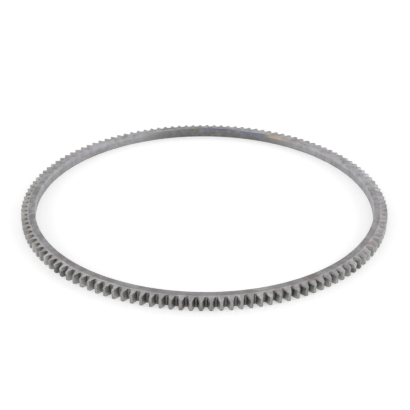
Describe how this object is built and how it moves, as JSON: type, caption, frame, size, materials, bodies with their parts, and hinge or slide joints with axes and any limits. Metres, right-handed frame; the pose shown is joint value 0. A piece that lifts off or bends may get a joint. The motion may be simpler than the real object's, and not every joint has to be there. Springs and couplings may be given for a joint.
{
  "type": "flywheel ring gear",
  "caption": "Flat steel starter ring gear: straight involute teeth around a narrow rim, with bevelled tooth ends on one side and a plain bore that shrinks onto a flywheel.",
  "frame": {"origin": "on the bore axis, in the plane of the back face that the ring lies on", "axes": "+Z along the bore axis, towards the bevelled tooth ends; a tooth points along +X"},
  "size_m": [0.34, 0.34, 0.01],
  "materials": {
    "steel": "bare hobbed steel, dark matt faces and paler worn edges"
  },
  "bodies": {
    "root": {"ring_gear": "steel"}
  },
  "joints": []
}
